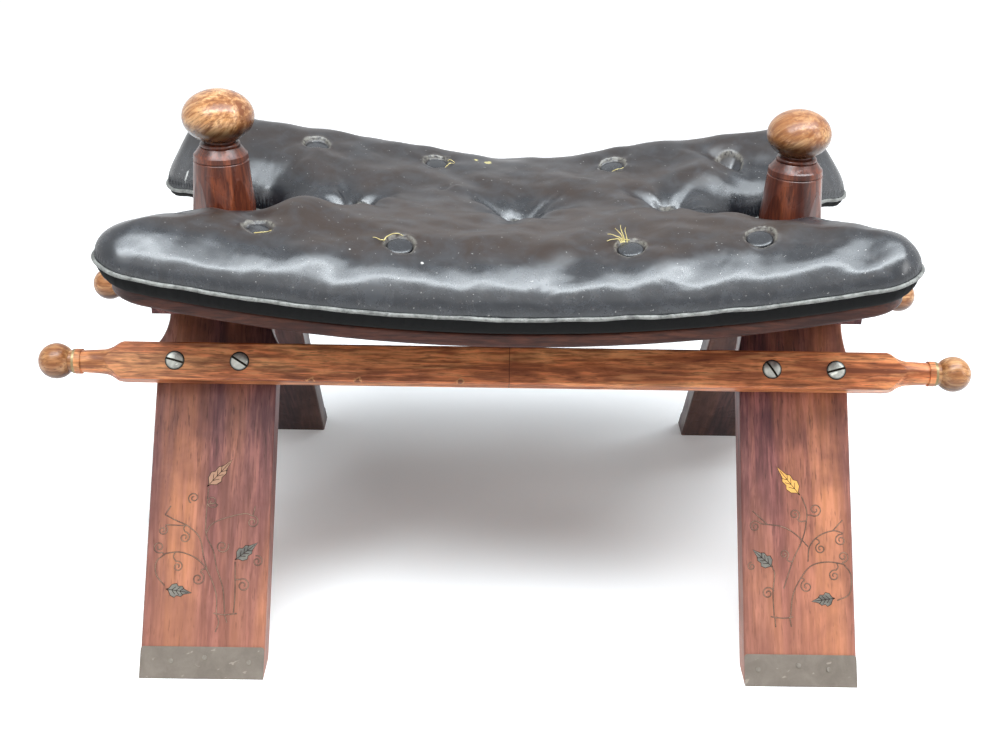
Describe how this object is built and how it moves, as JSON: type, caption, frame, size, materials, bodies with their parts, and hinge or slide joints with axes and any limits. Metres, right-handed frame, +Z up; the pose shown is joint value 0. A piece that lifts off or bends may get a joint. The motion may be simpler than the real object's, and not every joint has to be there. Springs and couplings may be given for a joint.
{
  "type": "camel saddle stool",
  "caption": "Camel saddle stool: splayed wooden trestles with turned pommels and ball-ended rails carry dipped seat boards and a loose buttoned leather cushion.",
  "frame": {"origin": "on the floor, under the middle of the stool", "axes": "+X along the rails to the right of someone facing the front, +Y from the front to the back, +Z up"},
  "size_m": [0.7, 0.4118, 0.3811],
  "materials": {
    "leg_wood": "stained red-brown hardwood, satin varnish, straight grain along the leg",
    "bearer_wood": "stained dark hardwood, satin",
    "post_wood": "stained dark red-brown hardwood, satin varnish",
    "pommel_wood": "golden brown hardwood, glossy varnish",
    "rail_wood": "orange-brown hardwood, satin varnish, grain along the rail",
    "board_wood": "stained dark hardwood, satin",
    "foot_plate_metal": "dull worn sheet metal",
    "nail_metal": "bright worn nail heads",
    "inlay_metal": "pewter grey inlay, polished flush",
    "collar_metal": "dull brass",
    "bolt_metal": "plain slotted steel, dulled",
    "cushion_leather": "black-brown smooth leather, worn sheen",
    "welt_leather": "pale grey piping, worn",
    "button_leather": "black-brown leather covered"
  },
  "bodies": {
    "root": {"bolt_nuts_back": "bolt_metal", "bolt_nuts_front": "bolt_metal", "bolt_washers_back": "bolt_metal", "bolt_washers_front": "bolt_metal", "cushion": "cushion_leather", "cushion_buttons_back": "button_leather", "cushion_buttons_front": "button_leather", "cushion_buttons_middle": "button_leather", "cushion_welt": "welt_leather", "foot_plate_back_left": "foot_plate_metal", "foot_plate_back_right": "foot_plate_metal", "foot_plate_front_left": "foot_plate_metal", "foot_plate_front_right": "foot_plate_metal", "foot_plate_nails_back": "nail_metal", "foot_plate_nails_front": "nail_metal", "inlay_leaves_back_left": "inlay_metal", "inlay_leaves_back_right": "inlay_metal", "inlay_leaves_front_left": "inlay_metal", "inlay_leaves_front_right": "inlay_metal", "leg_back_left": "leg_wood", "leg_back_right": "leg_wood", "leg_front_left": "leg_wood", "leg_front_right": "leg_wood", "pommel_left": "pommel_wood", "pommel_right": "pommel_wood", "post_left": "post_wood", "post_right": "post_wood", "rail_back": "rail_wood", "rail_ball_back_left": "pommel_wood", "rail_ball_back_right": "pommel_wood", "rail_ball_front_left": "pommel_wood", "rail_ball_front_right": "pommel_wood", "rail_bolts_back": "bolt_metal", "rail_bolts_front": "bolt_metal", "rail_collars_back": "collar_metal", "rail_collars_front": "collar_metal", "rail_front": "rail_wood", "seat_bearer_left": "bearer_wood", "seat_bearer_right": "bearer_wood", "seat_board_back": "board_wood", "seat_board_front": "board_wood", "seat_board_screws": "bolt_metal"}
  },
  "joints": []
}
